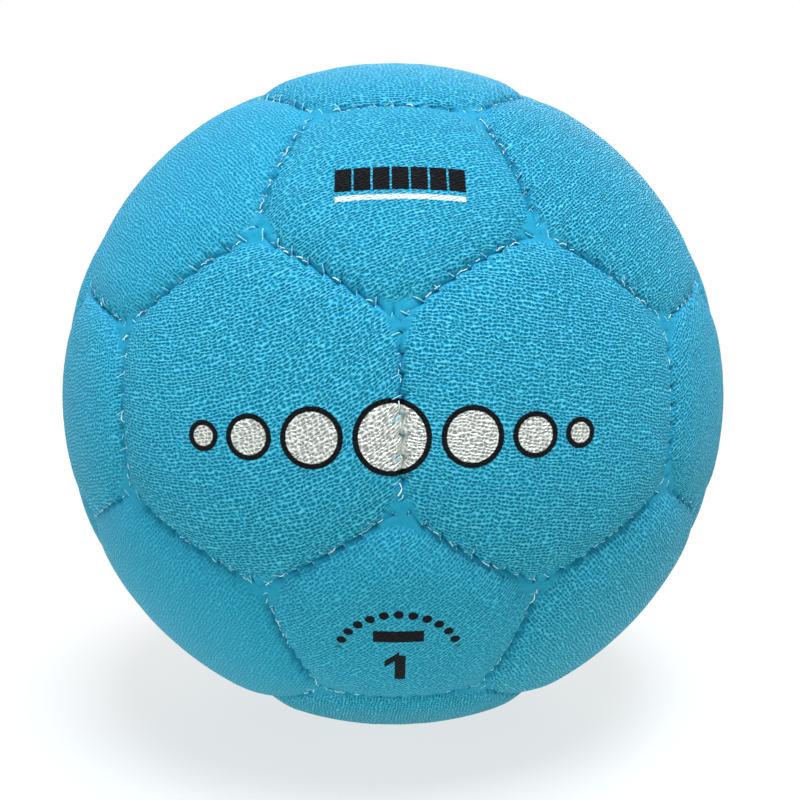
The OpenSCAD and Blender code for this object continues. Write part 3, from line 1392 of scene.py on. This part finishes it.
@dataclass(frozen=True)
class SeamNoise:
    """A number that wanders along each seam in its own way.

    Attributes:
        scale: How often it changes in a millimetre.
        spread: How far the seams' numbers pull it apart.
        lane: Keeps it apart from the other noises.
        detail: How many finer layers are added.
    """

    scale: float
    spread: float
    lane: float = 0.0
    detail: float = 0.0

    def wave(self, g: Growth, along: Wire, seed: Wire, lane: Wire | None = None) -> Wire:
        """Builds the noise.

        Args:
            g: The tree.
            along: The place along the seam.
            seed: The seam's number.
            lane: A lane that changes from point to point.

        Returns:
            The number, about 0.5 in the mean.
        """
        place = g.vector(along * self.scale, seed * self.spread, self.lane if lane is None else lane)
        return g.noise(place, 1.0, self.detail)


@dataclass(frozen=True)
class Stitching:
    """How the panels' edges are rolled, sewn and pinched, in millimetres.

    Attributes:
        roll_depth: How far the leather rolls down towards a seam.
        roll_width: How wide that roll is.
        lip_depth: How much deeper the leather dips right at the seam.
        lip_width: How wide that dip is.
        stitches: How many stitches a seam has.
        pinch_depth: How deep a stitch pinches the leather.
        reach: How far from the seam it does.
        slant: How far a stitch leans along the seam for each millimetre across it.
        saw: How far the stitches saw the seam's line sideways, and how far from the seam.
        closing: How much of the seam's gap is closed at the top.
        uneven: How the stitches stray from their even places, and by what share of the pitch.
        strength: How the pinches' depth changes, by how much, and its least share.
        fade: Where a pinch has faded out and where it is whole, as shares of its reach.
        flank: From which shares of depth a pinch shows a fold with painted shade.
        ends: Distances from a seam's end between which the dip starts, and its share between the ends.
        ledge: Where a pinch starts and is deepest, and how slowly it runs out.
        puff: How far the leather puffs up between two stitches, and how far from the seam.
        pillow: How much a panel sinks near its seams, and over what distance.
        lump: Scale and height of the soft lumps.
        ripple: How the leather ripples beside a seam, how high, how quickly away from it, and how far.
    """

    roll_depth: float = 1.3
    roll_width: float = 7.6
    lip_depth: float = 0.9
    lip_width: float = 1.3
    stitches: int = 9
    pinch_depth: float = 0.62
    reach: float = 2.9
    slant: float = 0.6
    saw: Pair = (0.42, 1.6)
    closing: float = 0.095
    uneven: tuple[SeamNoise, float] = (SeamNoise(0.16, 3.7), 0.3)
    strength: tuple[SeamNoise, float, float] = (SeamNoise(0.27, 5.3, 1.0), 0.9, 0.55)
    fade: Pair = (1.0, 0.15)
    flank: Pair = (0.35, 0.8)
    ends: Triple = (0.8, 5.5, 0.92)
    ledge: Triple = (-0.22, 0.26, 1.05)
    puff: Pair = (-0.2, 1.8)
    pillow: Pair = (0.4, 8.0)
    lump: Pair = (0.16, 0.3)
    ripple: tuple[SeamNoise, float, float, float] = (SeamNoise(0.9, 2.1, 0.0, 1.0), 0.5, 0.35, 2.6)

    SCRATCH = (
        "edge", "rounded", "along", "hand", "seed", "share", "bow", "window", "corner", "top", "follow", "inward",
    )

    def pitch(self) -> float:
        """Distance from stitch to stitch in millimetres."""
        return 2 * BallSizes().half_seam() / self.stitches

    def jitter(self, g: Growth, along: Wire, seed: Wire) -> Wire:
        """Moves each stitch off its even place, alike on both sides of a seam.

        Args:
            g: The tree.
            along: The place along the seam.
            seed: The seam's number.

        Returns:
            How far the stitch is moved, as a share of the pitch.
        """
        noise, share = self.uneven
        return (noise.wave(g, along, seed) - 0.5) * share

    def relief(self, material: bpy.types.Material) -> Growth:
        """Builds the tree that rolls, sews and pinches a panel's edge.

        Args:
            material: The material that the tree sets.

        Returns:
            The tree.
        """
        g = Growth("sewn relief")
        pitch = g.size_input("Stitch pitch", self.pitch())
        edge, rounded, along, hand, seed, share, bow, window, corner, top, follow = map(g.named, self.SCRATCH[:-1])
        beat = (along + edge * hand * g.size_input("Slant", self.slant)) / pitch + 0.5 + self.jitter(g, along, seed)
        cell = (beat + 0.5).fraction() - 0.5
        fade = (edge / (g.size_input("Pinch reach", self.reach) * (share * 0.5 + 0.5))).beyond(*self.fade)
        sunk = self._roll(g, edge, rounded, corner) + self._pinch(g, beat, pitch, fade, along, seed, share, window)
        puff = (1.0 - (cell * 2.0) * (cell * 2.0)) * (-(edge / self.puff[1])).exp() * window * self.puff[0]
        sunk = sunk + puff + self._unevenness(g, edge, along, seed)
        saw_width, saw_reach = self.saw
        saw = cell * 2.0 * g.size_input("Saw width", saw_width) * hand * (-(edge / saw_reach)).exp() * window
        aside = (bow * hand - saw - g.size_input("Closing", self.closing) * (-edge).exp()) * follow
        outwards = g.vmath("NORMALIZE", g.node("GeometryNodeInputPosition"))
        sideways = g.scaled(g.named("inward", "FLOAT_VECTOR"), aside * MM)
        shift = g.vmath("ADD", g.scaled(outwards, sunk.high(0.0) * top * -MM), sideways)
        moved = g.node("GeometryNodeSetPosition", {}, {"Geometry": g.geometry(), "Offset": shift})
        moved = g.marked(moved, "stitch", beat)
        # Where the fold beside each strand shows, with painted shade.
        moved = g.marked(moved, "flank", fade * window * share.beyond(*self.flank) * top)
        g.close(moved, material)
        return g

    def _roll(self, g: Growth, edge: Wire, rounded: Wire, corner: Wire) -> Wire:
        """Rolls the leather down towards the seam.

        Args:
            g: The tree.
            edge: Distance from the seam.
            rounded: The same, rounded at the corners.
            corner: Distance from the seam's end.

        Returns:
            How far the leather sinks, in millimetres.
        """
        roll_width, lip_width = g.size_input("Roll width", self.roll_width), g.size_input("Lip width", self.lip_width)
        roll = ((roll_width - rounded) / roll_width).high(0.0).low(1.0)
        lip = ((lip_width - edge) / lip_width).high(0.0).low(1.0)
        roll = roll * roll * g.size_input("Roll depth", self.roll_depth)
        near, far, share = self.ends
        lip = lip * lip * g.size_input("Lip depth", self.lip_depth) * (corner.beyond(near, far) * share + (1 - share))
        return roll + lip + (-(rounded.high(0.0) / self.pillow[1])).exp() * self.pillow[0]

    def _pinch(
        self, g: Growth, beat: Wire, pitch: Wire, fade: Wire, along: Wire, seed: Wire, share: Wire, window: Wire,
    ) -> Wire:
        """Pinches the leather at each stitch: steep on one side, running out on the other.

        Args:
            g: The tree.
            beat: The place along the seam, counted in stitches.
            pitch: Distance from stitch to stitch.
            fade: How the pinch fades away from the seam.
            along: The place along the seam.
            seed: The seam's number.
            share: How deep this panel's edge is pinched.
            window: 0 where another side is as near, else 1.

        Returns:
            How far the leather sinks, in millimetres.
        """
        start, deepest, tail = self.ledge
        gap = (beat.fraction() - 0.5) * pitch
        ledge = gap.beyond(start, deepest) * (-(gap.high(0.0) / tail)).exp()
        noise, swing, least = self.strength
        strength = noise.wave(g, along, seed) * swing + least
        return ledge * fade * g.size_input("Pinch depth", self.pinch_depth) * share * window * strength

    def _unevenness(self, g: Growth, edge: Wire, along: Wire, seed: Wire) -> Wire:
        """Adds soft lumps all over and ripples beside the seam.

        Args:
            g: The tree.
            edge: Distance from the seam.
            along: The place along the seam.
            seed: The seam's number.

        Returns:
            How far the leather sinks, in millimetres.
        """
        spot = g.scaled(g.node("GeometryNodeInputPosition"), 1 / MM)
        lumps = (g.noise(spot, self.lump[0], 2.0) - 0.5).size() * self.lump[1]
        noise, height, quickness, reach = self.ripple
        ripples = (noise.wave(g, along, seed, edge * quickness) - 0.5).size() * height
        return lumps + ripples * (-(edge / reach)).exp()


PRINTS = {
    "hexagon_front_left": Print.DISCS,
    "hexagon_front_right": Print.DISCS,
    "pentagon_front_top": Print.BLOCKS,
    "pentagon_front_bottom": Print.NUMERAL,
}


@dataclass
class Cover:
    """The 32 sewn panels.

    Attributes:
        stitching: How they are sewn.
        leather: What they are made of.
    """

    stitching: Stitching = field(default_factory=Stitching)
    leather: PebbledLeather = field(default_factory=PebbledLeather)

    def build(self) -> list[bpy.types.Object]:
        """Builds and dresses every panel.

        Returns:
            The panels' objects.
        """
        plain = self.leather.make("pebbled_leather")
        printed = {p: self.leather.make(f"pebbled_leather_{p.value}", p) for p in Print if p is not Print.NONE}
        tree = self.stitching.relief(plain)
        net = panel_net()
        made = []
        for panel in net:
            piece = tree.grow(new_object(f"cover_{panel.node}", PanelMesh(panel, net).build()))
            piece.data.materials.clear()
            piece.data.materials.append(printed.get(PRINTS.get(panel.node), plain))
            forget(piece.data, Stitching.SCRATCH)
            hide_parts(panel.node)
            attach(piece, "root")
            LOG.info("%s: %d faces", piece.name, len(piece.data.polygons))
            made.append(piece)
        return made


@dataclass
class Sewing:
    """The waxed thread: a strand over every stitch, and the short frayed ends that stand out of the seams.

    Attributes:
        cover: The panels that it is laid on.
        stitching: How the panels are sewn.
        sizes: The cover's sizes.
        thickness: Thickness of a strand, in millimetres.
        lower_end: Where a strand starts, measured from the seam into its upper panel.
        upper_end: Where the longest would end.
        reach: Least and largest share of that length that a strand takes.
        lean: Least and largest share of the stitches' slant that it takes.
        points: How many points it has.
        arch: How far its middle stands off the leather, and how far its ends sink in.
        frays: How many places a seam has for a frayed end.
        fray_margin: How far these stay from the seam's ends.
        fray_place: How far from the seam they lie before they are shaken.
        fray_lift: How far they stand off the leather.
        fray_shake: How its place strays along the seam, and how far.
        fray_side: How its place strays across the seam, round which value of the noise, and how far.
        fray_luck: The noise that says where frayed ends are.
        fray_chance: Between which of its values a place gets a frayed end.
        fray_spin: The most that a frayed end is turned, in radians.
        fray_size: Least and largest size of a frayed end, as a share of its full size.
        wisp: Start, middle and end of a frayed end in metres.
        wisp_radius: Its thickness from its middle, in metres.
        start_height: How high over the ball the strands start before they are laid down.
        drop: The farthest that they are laid down, in metres.
        slack: By how much, in radians, two panels' middles may be farther apart than neighbours'.
        level: By how much two middles may differ in height and still count as level.
    """

    cover: list[bpy.types.Object]
    stitching: Stitching = field(default_factory=Stitching)
    sizes: BallSizes = field(default_factory=BallSizes)
    thickness: float = 0.24
    lower_end: float = -0.3
    upper_end: float = 2.2
    reach: Pair = (0.2, 0.9)
    lean: Pair = (0.7, 1.25)
    points: int = 10
    arch: Pair = (0.16, 0.02)
    frays: int = 26
    fray_margin: float = 1.5
    fray_place: float = 0.15
    fray_lift: float = 0.22
    fray_shake: tuple[SeamNoise, float] = (SeamNoise(2.3, 1.9, 3.0, 2.0), 2.0)
    fray_side: tuple[SeamNoise, float, float] = (SeamNoise(3.1, 2.3, 8.0, 2.0), 0.42, 1.4)
    fray_luck: SeamNoise = SeamNoise(0.35, 4.1, 6.0, 1.0)
    fray_chance: Pair = (0.42, 0.6)
    fray_spin: Triple = (0.2, 0.2, 0.5)
    fray_size: Pair = (0.35, 1.0)
    wisp: tuple[Triple, Triple, Triple] = (
        (-0.0007, 0.0, -0.0002), (0.0, 0.0001, 0.00035), (0.0008, 0.0, -0.0001),
    )
    wisp_radius: float = 0.00011
    start_height: float = 2.0
    drop: float = 0.02
    slack: float = 0.02
    level: float = 0.01

    SCRATCH = ("along", "part", "seed", "loose", "bow", "run", "inward")

    def _seams(self) -> Iterator[tuple[Seam, Vector, Vector]]:
        """Finds every seam once, seen from its upper panel.

        Yields:
            The seam, the direction of its middle, and the direction into the upper panel there.
        """
        net = panel_net()
        for me, one in enumerate(net):
            for near, two in enumerate(net):
                limit = self.sizes.side_angle(one.sides) + self.sizes.side_angle(two.sides) + self.slack
                level = abs(one.middle.z - two.middle.z) < self.level
                upper = one.middle.z > two.middle.z or (level and me < near)
                if me == near or not upper or one.middle.angle(two.middle) > limit:
                    continue
                share = self.sizes.side_angle(one.sides)
                over = (two.middle - two.middle.dot(one.middle) * one.middle).normalized()
                middle = one.middle * math.cos(share) + over * math.sin(share)
                yield Seam.between(net, me, near), middle, one.middle * math.sin(share) - over * math.cos(share)

    def lines(self) -> bpy.types.Mesh:
        """Draws a straight line across the seam for each stitch, and a loose point for each frayed end's place.

        Returns:
            The mesh with the attributes that the tree reads.
        """
        stitches, half = self.stitching.stitches, self.sizes.half_seam()
        spots, edges, rows = [], [], []

        def add(seam: Seam, middle: Vector, inward: Vector, base: float, lean: float, away: float, part: float,
                loose: float) -> None:
            """Adds a point.

            Args:
                seam: The seam.
                middle: Direction of its middle.
                inward: Direction into its upper panel.
                base: The stitch's place along the seam.
                lean: How far the point is moved along the seam for each millimetre across it.
                away: The point's distance from the seam.
                part: Its place on the strand, from 0 to 1.
                loose: 1 for a frayed end's place, else 0.
            """
            spots.append((middle, seam.run, inward, base - away * seam.hand * lean, away))
            bow = seam.bow * seam.hand * (1 - (base / half) ** 2)
            rows.append((base, part, seam.number, loose, bow))

        for seam, middle, inward in self._seams():
            luck = np.random.default_rng(int(seam.number))
            for k in range(stitches):
                reach = (self.upper_end - self.lower_end) * luck.uniform(*self.reach)
                lean = self.stitching.slant * luck.uniform(*self.lean)
                edges += [(len(spots) + c, len(spots) + c + 1) for c in range(self.points - 1)]
                for part in np.linspace(0, 1, self.points):
                    base = (k - stitches // 2) * self.stitching.pitch()
                    add(seam, middle, inward, base, lean, self.lower_end + reach * part, part, 0.0)
            for k in range(self.frays):
                base = (2 * (k + 0.5) / self.frays - 1) * (half - self.fray_margin)
                add(seam, middle, inward, base, 0.0, self.fray_place, 0.0, 1.0)
        height = (self.sizes.radius + self.start_height) * MM
        points = []
        for middle, run, inward, along, away in spots:
            a, b = along / self.sizes.radius, away / self.sizes.radius
            spot = (middle * math.cos(a) + run * math.sin(a)) * math.cos(b) + inward * math.sin(b)
            points.append(spot.normalized() * height)
        mesh = new_mesh("sewing_thread", np.array(points), [], edges)
        store(mesh, **dict(zip(self.SCRATCH, np.array(rows).T)))
        store(mesh, run=np.array([s[1] for s in spots]), inward=np.array([s[2] for s in spots]))
        return mesh

    def tree(self, material: bpy.types.Material, laid_on: bpy.types.Collection) -> Growth:
        """Builds the tree that lays the strands and frayed ends on the sewn panels.

        Args:
            material: The material that the tree sets.
            laid_on: The collection of panels.

        Returns:
            The tree.
        """
        g = Growth("sewing")
        along, part, seed, loose, bow = map(g.named, self.SCRATCH[:5])
        run, inward = g.named("run", "FLOAT_VECTOR"), g.named("inward", "FLOAT_VECTOR")
        (shake, shaken), (side, off_side, sideways) = self.fray_shake, self.fray_side
        pitch = g.size_input("Stitch pitch", self.stitching.pitch())
        off = self.stitching.jitter(g, along, seed) * pitch * -1.0
        off = off + (shake.wave(g, along, seed) - 0.5) * loose * shaken
        aside = bow + (side.wave(g, along, seed) - off_side) * loose * sideways
        moved = g.vmath("ADD", g.scaled(run, off * MM), g.scaled(inward, aside * MM))
        start = g.vmath("ADD", g.node("GeometryNodeInputPosition"), moved)
        down = g.scaled(g.vmath("NORMALIZE", start), -1.0)
        cover = g.node("GeometryNodeCollectionInfo", {}, {"Collection": laid_on})
        hit = g.node("GeometryNodeRaycast", {"data_type": "FLOAT"}, {
            "Target Geometry": g.node("GeometryNodeRealizeInstances", {}, {"Geometry": cover}),
            "Source Position": start, "Ray Direction": down, "Ray Length": self.drop,
        }, "Hit Position")
        arch, sink = self.arch
        lift = (1.0 - (part * 2.0 - 1.0) * (part * 2.0 - 1.0)) * arch - sink + loose * self.fray_lift
        laid = g.node("GeometryNodeSetPosition", {}, {
            "Geometry": g.geometry(), "Position": g.vmath("ADD", hit, g.scaled(down, -lift * MM))})
        line = g.node("GeometryNodeMeshToCurve", {}, {"Mesh": laid})
        cord = g.marked(g.tube(line, g.size_input("Thickness", self.thickness) * (MM / 2), 5), "bare", 0.0)
        chance = self.fray_luck.wave(g, along, seed).beyond(*self.fray_chance) * loose
        both = g.node("GeometryNodeJoinGeometry", {}, {0: cord})
        g.tree.links.new(self._frays(g, laid, chance, down, run).socket, both.socket.node.inputs[0])
        g.close(both, material)
        return g

    def _frays(self, g: Growth, laid: Wire, chance: Wire, down: Wire, run: Wire) -> Wire:
        """Sets a frayed end at some of the points.

        Args:
            g: The tree.
            laid: The laid points.
            chance: How likely each point gets a frayed end.
            down: Direction to the ball's centre.
            run: Direction along the seam.

        Returns:
            The frayed ends.
        """
        picked = g.node("FunctionNodeCompare", {"operation": "LESS_THAN"}, {0: g.random(0.0, 1.0, 5), 1: chance})
        spin = g.random(tuple(-s for s in self.fray_spin), self.fray_spin, 11)
        align = g.node("FunctionNodeAlignRotationToVector", {"axis": "Z"}, {"Vector": g.scaled(down, -1.0)})
        align = g.node(
            "FunctionNodeAlignRotationToVector", {"axis": "X", "pivot_axis": "Z"}, {"Rotation": align, "Vector": run}
        )
        turned = g.node("FunctionNodeRotateRotation", {"rotation_space": "LOCAL"}, {0: align, 1: spin})
        start, middle, end = self.wisp
        arc = g.node("GeometryNodeCurveQuadraticBezier", {}, {
            "Resolution": 4, "Start": start, "Middle": middle, "End": end})
        tufts = g.node("GeometryNodeInstanceOnPoints", {}, {
            "Points": laid, "Selection": picked, "Instance": g.tube(arc, self.wisp_radius, 4), "Rotation": turned,
            "Scale": g.random(*self.fray_size, 3),
        })
        return g.marked(g.node("GeometryNodeRealizeInstances", {}, {"Geometry": tufts}), "bare", 1.0)

    def build(self) -> bpy.types.Object:
        """Makes the thread as one piece on the ball's body.

        Returns:
            The thread's object.
        """
        laid_on = bpy.data.collections.new("laid_on")
        bpy.context.scene.collection.children.link(laid_on)
        for panel in self.cover:
            laid_on.objects.link(panel)
        piece = new_object("sewing_thread", self.lines())
        piece = self.tree(WaxedThread().make(), laid_on).grow(piece)
        bpy.data.collections.remove(laid_on)
        forget(piece.data, self.SCRATCH)
        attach(piece, "root")
        LOG.info("%s: %d faces", piece.name, len(piece.data.polygons))
        return piece


# ---------------------------------------------------------------- inner layers and stage


@dataclass
class InnerLayers:
    """The CAD nodes that keep their shape: linings, patch, bladder and valve.

    Attributes:
        lining: Finish of the linings.
        finishes: Finish of each other node.
    """

    lining: WovenCloth = WovenCloth("lining_cloth", (0.78, 0.76, 0.68))
    finishes: dict[str, WovenCloth | MouldedRubber] = field(default_factory=lambda: {
        "valve_patch": WovenCloth("patch_cloth", (0.62, 0.57, 0.45), 0.5),
        "bladder": MouldedRubber("bladder_rubber", (0.03, 0.03, 0.032)),
        "valve_boot": MouldedRubber("boot_rubber", (0.66, 0.68, 0.66)),
        "valve_core": MouldedRubber("core_rubber", (0.03, 0.03, 0.032)),
    })

    def dress(self) -> None:
        """Gives each node its finish."""
        cloth = self.lining.make()
        materials = {node: cloth for node in ("pentagon_linings", "hexagon_linings", "valve_lining")}
        materials |= {node: finish.make() for node, finish in self.finishes.items()}
        for node, material in materials.items():
            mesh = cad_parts[node].data
            mesh.materials.clear()
            mesh.materials.append(material)
            LOG.info("%s dressed", node)


@dataclass(frozen=True)
class Lamp:
    """A square soft light aimed at the ball.

    Attributes:
        name: The light's name.
        place: Where it stands, in metres.
        side: Length of its side, in metres.
        watts: Its power.
        colour: Its colour.
    """

    name: str
    place: Triple
    side: float
    watts: float
    colour: Colour

    def hang(self) -> None:
        """Adds the light to the scene."""
        data = bpy.data.lights.new(self.name, "AREA")
        data.size = self.side
        data.energy = self.watts
        data.color = self.colour
        made = bpy.data.objects.new(self.name, data)
        made.location = self.place
        made.rotation_mode = "QUATERNION"
        made.rotation_quaternion = (-Vector(self.place)).to_track_quat("-Z", "Y")
        bpy.context.scene.collection.objects.link(made)


@dataclass
class Stage:
    """Pale floor, soft lights and the camera.

    Attributes:
        floor_z: Height of the floor, in metres.
        distance: The camera's distance from the ball's centre, as a multiple of its radius.
        lens_mm: The camera's lens.
        turn: The camera's turn round each axis, in radians.
        shift: The camera's shift.
        near_far: The camera's clipping distances, in metres.
        floor_half: Half the floor's side, in metres.
        floor_matt: Colour of the floor's matt share.
        floor_grey: Colour of the floor for the light that it throws back.
        glow_start: Distances between which the floor turns to plain white, in metres.
        glow_share: Least share of plain white in it, and what is added far out.
        bounce: Colour and strength of the light that the floor gives the ball.
        sky_low: Colour of the light from below.
        sky_high: Colour of the light from above.
        sky_range: Heights, from -1 to 1, between which one turns to the other.
        sky_strength: Strength of the light from all round.
        lamps: The lights.
    """

    floor_z: float
    distance: float = 2.7056
    lens_mm: float = 37.458
    turn: Triple = (0.0467, -0.0090, 0.0180)
    shift: Pair = (0.0089, -0.0078)
    near_far: Pair = (0.01, 50.0)
    floor_half: float = 3.0
    floor_matt: float = 0.9
    floor_grey: float = 0.3
    glow_start: Pair = (0.05, 0.22)
    glow_share: Pair = (0.7, 0.3)
    bounce: tuple[Colour, float] = ((0.68, 0.98, 0.72), 0.72)
    sky_low: Colour = (0.72, 0.72, 0.60)
    sky_high: Colour = (0.88, 0.96, 1.0)
    sky_range: Pair = (-0.6, 0.9)
    sky_strength: float = 0.16
    lamps: tuple[Lamp, ...] = (
        Lamp("key", (0.10, -0.42, 1.00), 0.45, 17.2, (0.86, 0.94, 1.0)),
        Lamp("fill", (0.85, -0.85, 0.2), 0.8, 2.9, (1.0, 0.92, 0.88)),
        Lamp("side", (-0.90, -0.50, 0.02), 0.6, 4.6, (0.96, 0.98, 1.0)),
        Lamp("back", (0.25, 1.00, 0.45), 0.8, 5.0, (1.0, 1.0, 1.0)),
    )

    def camera(self) -> None:
        """Sets up the camera at the photograph's angle."""
        data = bpy.data.cameras.new("camera")
        data.sensor_width = 36.0
        data.lens = self.lens_mm
        data.shift_x, data.shift_y = self.shift
        data.clip_start, data.clip_end = self.near_far
        made = bpy.data.objects.new("camera", data)
        bpy.context.scene.collection.objects.link(made)
        turn = Vector(self.turn)
        back = Matrix.Rotation(turn.length, 3, turn.normalized()).transposed()
        right, ahead, up = (back @ Vector(axis) for axis in ((1, 0, 0), (0, 1, 0), (0, 0, 1)))
        basis = Matrix((right, up, -ahead)).transposed().to_4x4()
        basis.translation = -ahead * self.distance * BallSizes().radius * MM
        made.matrix_world = basis
        bpy.context.scene.camera = made

    def floor(self) -> None:
        """Makes the pale floor that keeps a soft shadow."""
        half = self.floor_half
        corners = ((-half, -half), (half, -half), (half, half), (-half, half))
        points = np.array([(x, y, self.floor_z) for x, y in corners])
        floor = new_object("floor", new_mesh("floor", points, [(0, 1, 2, 3)]))
        material = bpy.data.materials.new("white_floor")
        material.use_nodes = True
        tree = Tree(material.node_tree)
        x, y, _ = tree.parts(tree.node("ShaderNodeTexCoord", {}, {}, "Object"))
        far = (x * x + y * y).root()
        white = tree.node("ShaderNodeEmission", {}, {"Color": shaded((1, 1, 1), 1), "Strength": 1.0})
        matt, grey = (
            tree.node("ShaderNodeBsdfDiffuse", {}, {"Color": shaded((1, 1, 1), share)})
            for share in (self.floor_matt, self.floor_grey)
        )
        share = far.beyond(*self.glow_start) * self.glow_share[1] + self.glow_share[0]
        seen = tree.node("ShaderNodeMixShader", {}, {0: share, 1: matt, 2: white})
        colour, strength = self.bounce
        glow = tree.node("ShaderNodeEmission", {}, {"Color": shaded(colour, 1), "Strength": strength})
        unseen = tree.node("ShaderNodeAddShader", {}, {0: grey, 1: glow})
        mixed = tree.node("ShaderNodeMixShader", {}, {0: self.shows(tree), 1: unseen, 2: seen})
        tree.node("ShaderNodeOutputMaterial", {}, {"Surface": mixed})
        floor.data.materials.append(material)

    @staticmethod
    def shows(tree: Tree) -> Wire:
        """Finds the rays that show the background.

        Args:
            tree: The material's or the world's tree.

        Returns:
            1 for the rays that the camera sees, or that are mirrored or let through, else 0.
        """
        camera, glossy, through = (
            tree.node("ShaderNodeLightPath", {}, {}, name)
            for name in ("Is Camera Ray", "Is Glossy Ray", "Is Transmission Ray")
        )
        return camera.high(glossy).high(through)

    def world(self) -> None:
        """Lights the scene softly from all round and shows white behind it."""
        world = bpy.data.worlds.new("studio")
        bpy.context.scene.world = world
        world.use_nodes = True
        tree = Tree(world.node_tree)
        _, _, z = tree.parts(tree.node("ShaderNodeTexCoord", {}, {}, "Generated"))
        sky = tree.mix(z.beyond(*self.sky_range), shaded(self.sky_low, 1), shaded(self.sky_high, 1))
        dim = tree.node("ShaderNodeBackground", {}, {"Color": sky, "Strength": self.sky_strength})
        white = tree.node("ShaderNodeBackground", {}, {"Color": shaded((1, 1, 1), 1), "Strength": 1.0})
        mixed = tree.node("ShaderNodeMixShader", {}, {0: self.shows(tree), 1: dim, 2: white})
        tree.node("ShaderNodeOutputWorld", {}, {"Surface": mixed})

    def build(self) -> None:
        """Sets the whole stage."""
        self.camera()
        self.floor()
        self.world()
        for lamp in self.lamps:
            lamp.hang()
        bpy.context.scene.view_settings.view_transform = "Standard"


def main() -> None:
    """Builds the ball's looks piece by piece."""
    logging.basicConfig(level=logging.INFO)
    Stage(floor_z=CAD_BOX[0][2]).build()
    Sewing(Cover().build()).build()
    InnerLayers().dress()


if __name__ == "__main__":
    main()
